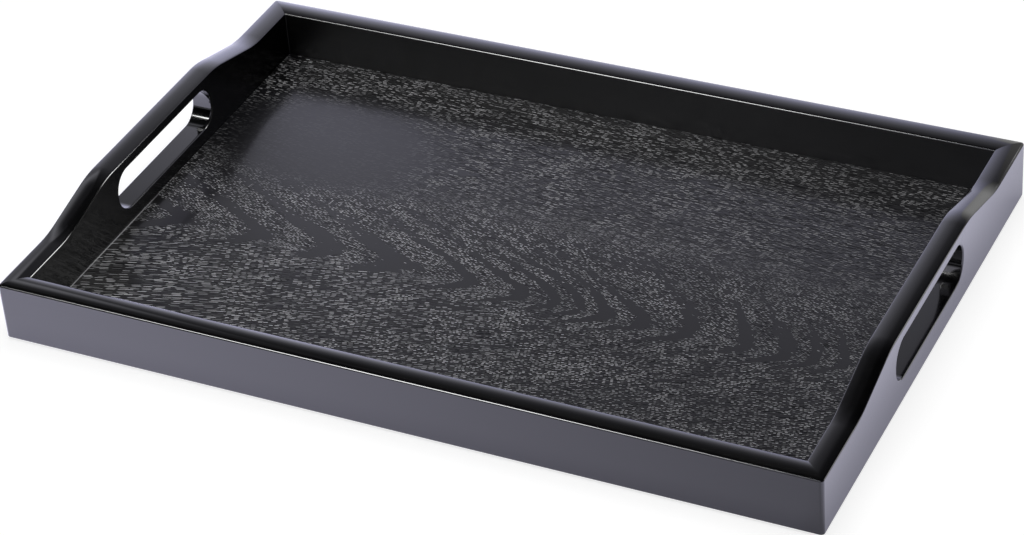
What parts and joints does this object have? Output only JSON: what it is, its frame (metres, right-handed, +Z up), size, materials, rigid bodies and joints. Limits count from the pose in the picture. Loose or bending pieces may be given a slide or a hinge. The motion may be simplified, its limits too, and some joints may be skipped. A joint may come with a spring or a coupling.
{
  "type": "serving tray",
  "caption": "Shallow rectangular serving tray with a crowned rim, raised end boards that each hold a grip slot, and a floor of black open-pored wood.",
  "frame": {"origin": "centre of the footprint, on the surface that the pads stand on", "axes": "+X along the length towards the right end board, +Y towards the rear rail, +Z up"},
  "size_m": [0.45, 0.3, 0.046],
  "materials": {
    "black_lacquer": "smooth black semi-gloss lacquer over wood",
    "black_veneer": "black stained open-pored ash veneer, glossy in the pores",
    "fibreboard": "raw fibreboard",
    "beech": "raw planed beech",
    "steel": "bright drawn steel",
    "black_rubber": "matte black rubber"
  },
  "bodies": {
    "root": {"front_rail": "black_lacquer", "rear_rail": "black_lacquer", "left_end_board": "black_lacquer", "right_end_board": "black_lacquer", "corner_tenon_front_left": "beech", "corner_tenon_front_right": "beech", "corner_tenon_rear_left": "beech", "corner_tenon_rear_right": "beech", "floor_veneer": "black_veneer", "base_core": "fibreboard", "backing_veneer": "black_veneer", "base_brad_front_1": "steel", "base_brad_front_2": "steel", "base_brad_front_3": "steel", "base_brad_front_4": "steel", "base_brad_rear_1": "steel", "base_brad_rear_2": "steel", "base_brad_rear_3": "steel", "base_brad_rear_4": "steel", "base_brad_left_1": "steel", "base_brad_left_2": "steel", "base_brad_left_3": "steel", "base_brad_right_1": "steel", "base_brad_right_2": "steel", "base_brad_right_3": "steel", "foot_front_left": "black_rubber", "foot_front_right": "black_rubber", "foot_rear_left": "black_rubber", "foot_rear_right": "black_rubber"}
  },
  "joints": []
}
